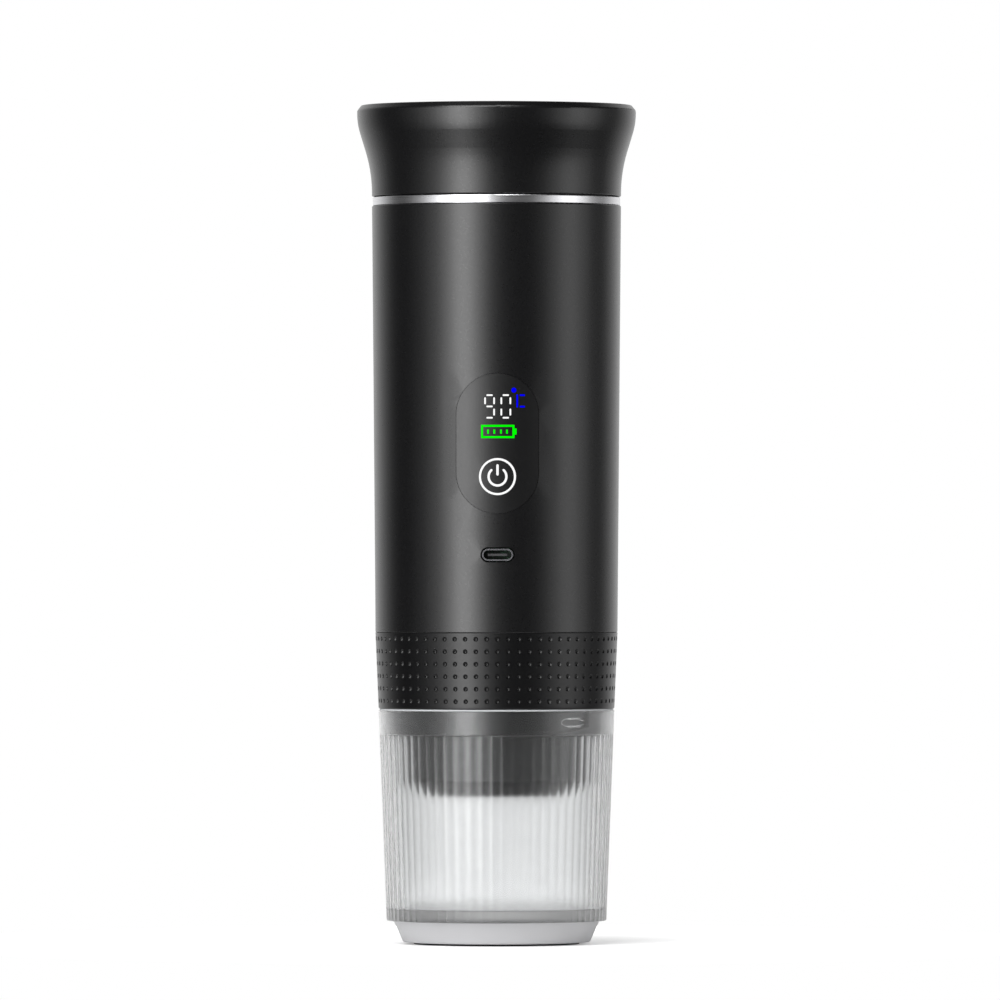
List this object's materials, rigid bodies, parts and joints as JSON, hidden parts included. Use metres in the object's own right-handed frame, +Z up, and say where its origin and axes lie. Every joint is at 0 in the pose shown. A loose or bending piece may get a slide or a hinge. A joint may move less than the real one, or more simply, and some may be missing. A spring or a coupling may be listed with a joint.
{
  "type": "portable espresso maker",
  "caption": "Upright battery espresso maker with a reeded clear cup, screw-on brew chamber, front display panel with power button, bright trim ring and flared screw lid.",
  "frame": {"origin": "on the table under the middle of the foot pad", "axes": "+Z up along the body's axis, the control panel faces -Y, +X to the right of someone facing the panel"},
  "size_m": [0.0834, 0.0834, 0.251],
  "materials": {
    "soft_touch_shell": "soft-touch, satin",
    "panel_gloss": "smooth",
    "light_guide": "milky",
    "bright_trim": "polished",
    "clear_cup": "clear, reeded",
    "base_grey": "satin",
    "foot_rubber": "matte",
    "pale_silicone": "matte",
    "dark_silicone": "matte",
    "dark_plastic": "moulded",
    "stainless": "pressed",
    "white_plastic": "moulded",
    "copper_winding": "enamelled",
    "board_laminate": "solder mask",
    "black_plastic": "moulded",
    "cell_wrap": "shrink wrap over a metal can",
    "heater_metal": "cast",
    "insulation": "fibre board",
    "wire_cover": "smooth"
  },
  "bodies": {
    "cup": {"foot_pad": "foot_rubber", "cup_base": "base_grey", "cup_shell": "clear_cup"},
    "cup_seal": {"cup_seal": "pale_silicone"},
    "chamber": {"brew_chamber": "dark_plastic", "grip_sleeve": "soft_touch_shell", "chamber_seal": "pale_silicone"},
    "basket": {"filter_basket": "stainless"},
    "head_gasket": {"head_gasket": "dark_silicone"},
    "housing": {"body_shell": "soft_touch_shell", "control_panel": "panel_gloss", "button_light_ring": "light_guide", "trim_ring": "bright_trim", "tank_gasket": "pale_silicone", "inlet_hose": "pale_silicone", "outlet_hose": "pale_silicone", "pump_mount": "dark_silicone", "brew_head": "dark_plastic", "tank_collar": "dark_plastic", "shower_screen": "stainless", "screen_screw": "stainless", "head_screws": "stainless", "board_screws": "stainless", "water_tank": "stainless", "usb_shell": "stainless", "pump_yoke": "stainless", "valve_spring": "stainless", "drive_spring": "stainless", "buffer_spring": "stainless", "battery_strips": "stainless", "chassis": "white_plastic", "battery_cradle_lower": "white_plastic", "battery_cradle_upper": "white_plastic", "pump_inlet_cap": "white_plastic", "pump_outlet_cap": "white_plastic", "pump_guide": "white_plastic", "pump_coil": "copper_winding", "main_board": "board_laminate", "press_switch": "black_plastic", "usb_tongue": "black_plastic", "display_module": "black_plastic", "battery_cell_1": "cell_wrap", "battery_cell_2": "cell_wrap", "battery_cell_3": "cell_wrap", "heater_plate": "heater_metal", "temp_sensor": "heater_metal", "heater_insulator": "insulation", "heater_leads": "wire_cover", "coil_leads": "wire_cover", "battery_leads": "wire_cover"},
    "power_button": {"power_button": "soft_touch_shell"},
    "valve_ball": {"valve_ball": "stainless"},
    "pump_piston": {"pump_piston": "stainless"},
    "lid_seal": {"lid_seal": "dark_silicone"},
    "lid": {"lid_shell": "soft_touch_shell", "lid_liner": "dark_plastic", "lid_top_plate": "soft_touch_shell"}
  },
  "joints": [
    {"name": "chamber_lift", "type": "slide", "parent": "cup", "child": "cup_seal", "axis": [0, 0, 1], "range_m": [0, 0.045]},
    {"name": "chamber_turn", "type": "hinge", "parent": "cup_seal", "child": "chamber", "pos_m": [0, 0, 0.0705], "axis": [0, 0, 1], "range_deg": [0, 491]},
    {"name": "housing_lift", "type": "slide", "parent": "chamber", "child": "head_gasket", "axis": [0, 0, 1], "range_m": [0, 0.06]},
    {"name": "housing_turn", "type": "hinge", "parent": "head_gasket", "child": "housing", "pos_m": [0, 0, 0.0933], "axis": [0, 0, 1], "range_deg": [0, 1350.1]},
    {"name": "basket_lift", "type": "slide", "parent": "chamber", "child": "basket", "axis": [0, 0, 1], "range_m": [0, 0.036]},
    {"name": "lid_lift", "type": "slide", "parent": "housing", "child": "lid_seal", "axis": [0, 0, 1], "range_m": [0, 0.03]},
    {"name": "lid_turn", "type": "hinge", "parent": "lid_seal", "child": "lid", "pos_m": [0, 0, 0.2237], "axis": [0, 0, 1], "range_deg": [0, 900.1]},
    {"name": "button_press", "type": "slide", "parent": "housing", "child": "power_button", "axis": [0, 1, 0], "range_m": [0, 0.0004], "stiffness_N_per_m": 800},
    {"name": "piston_stroke", "type": "slide", "parent": "housing", "child": "pump_piston", "axis": [0, 0, 1], "range_m": [-0.003, 0.003], "stiffness_N_per_m": 1500, "deforming": ["drive_spring", "buffer_spring"]},
    {"name": "valve_open", "type": "slide", "parent": "housing", "child": "valve_ball", "axis": [0, 0, -1], "range_m": [0, 0.0008], "stiffness_N_per_m": 150, "deforming": ["valve_spring"]}
  ],
  "couplings": [
    {"joint": "chamber_turn", "follows": "chamber_lift", "rad_per_m": 190.4},
    {"joint": "housing_turn", "follows": "housing_lift", "rad_per_m": 392.7},
    {"joint": "basket_lift", "follows": "housing_lift", "ratio": 0.6},
    {"joint": "lid_turn", "follows": "lid_lift", "rad_per_m": 523.6}
  ]
}
